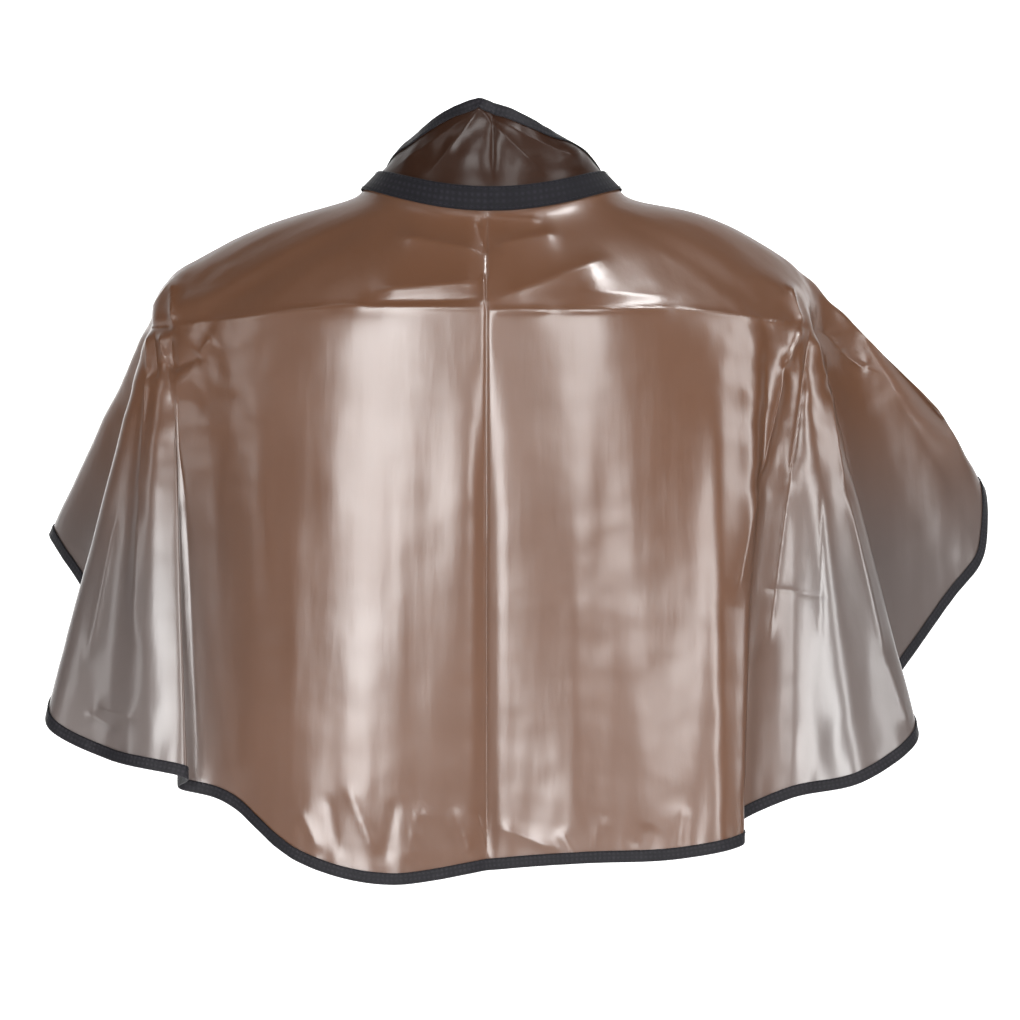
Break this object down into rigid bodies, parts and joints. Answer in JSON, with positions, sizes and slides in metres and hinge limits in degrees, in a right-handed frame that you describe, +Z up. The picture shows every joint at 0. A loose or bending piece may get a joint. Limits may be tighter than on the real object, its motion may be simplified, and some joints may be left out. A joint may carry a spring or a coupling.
{
  "type": "barber shoulder cape",
  "caption": "Short waterproof barber cape of smoky frosted film with black bound edges, peaked stand collar, black neck band and touch-fastening throat tab, draped as worn.",
  "frame": {"origin": "centre of the neck opening, at the height of the neck seam at the middle of the back; the neck mount is there", "axes": "+Z up, +Y the way the wearer faces, +X the wearer's right-hand side; the back of the cape faces -Y"},
  "size_m": [0.6901, 0.3323, 0.5333],
  "materials": {
    "cape_film": "frosted translucent film",
    "collar_film": "frosted translucent film",
    "binding_tape": "woven tape, matt",
    "band_tape": "woven tape, matt",
    "loop_pile": "brushed loop pile",
    "hook_pile": "moulded hooks",
    "sewing_thread": "polyester thread"
  },
  "bodies": {
    "cape": {"cape_panel": "cape_film", "collar_panel": "collar_film", "edge_binding": "binding_tape", "collar_binding": "binding_tape", "neck_band": "band_tape", "loop_strip": "loop_pile", "edge_binding_thread": "sewing_thread", "collar_binding_thread": "sewing_thread", "neck_band_upper_thread": "sewing_thread", "neck_band_lower_thread": "sewing_thread", "loop_strip_thread": "sewing_thread"},
    "throat_tab": {"closure_tab": "band_tape", "hook_strip": "hook_pile", "hook_strip_thread": "sewing_thread"}
  },
  "joints": [
    {"name": "tab_peel", "type": "hinge", "parent": "cape", "child": "throat_tab", "pos_m": [0.01248, 0.07326, -0.02266], "axis": [0.0746, 0.588, -0.8055], "range_deg": [0, 120]}
  ]
}
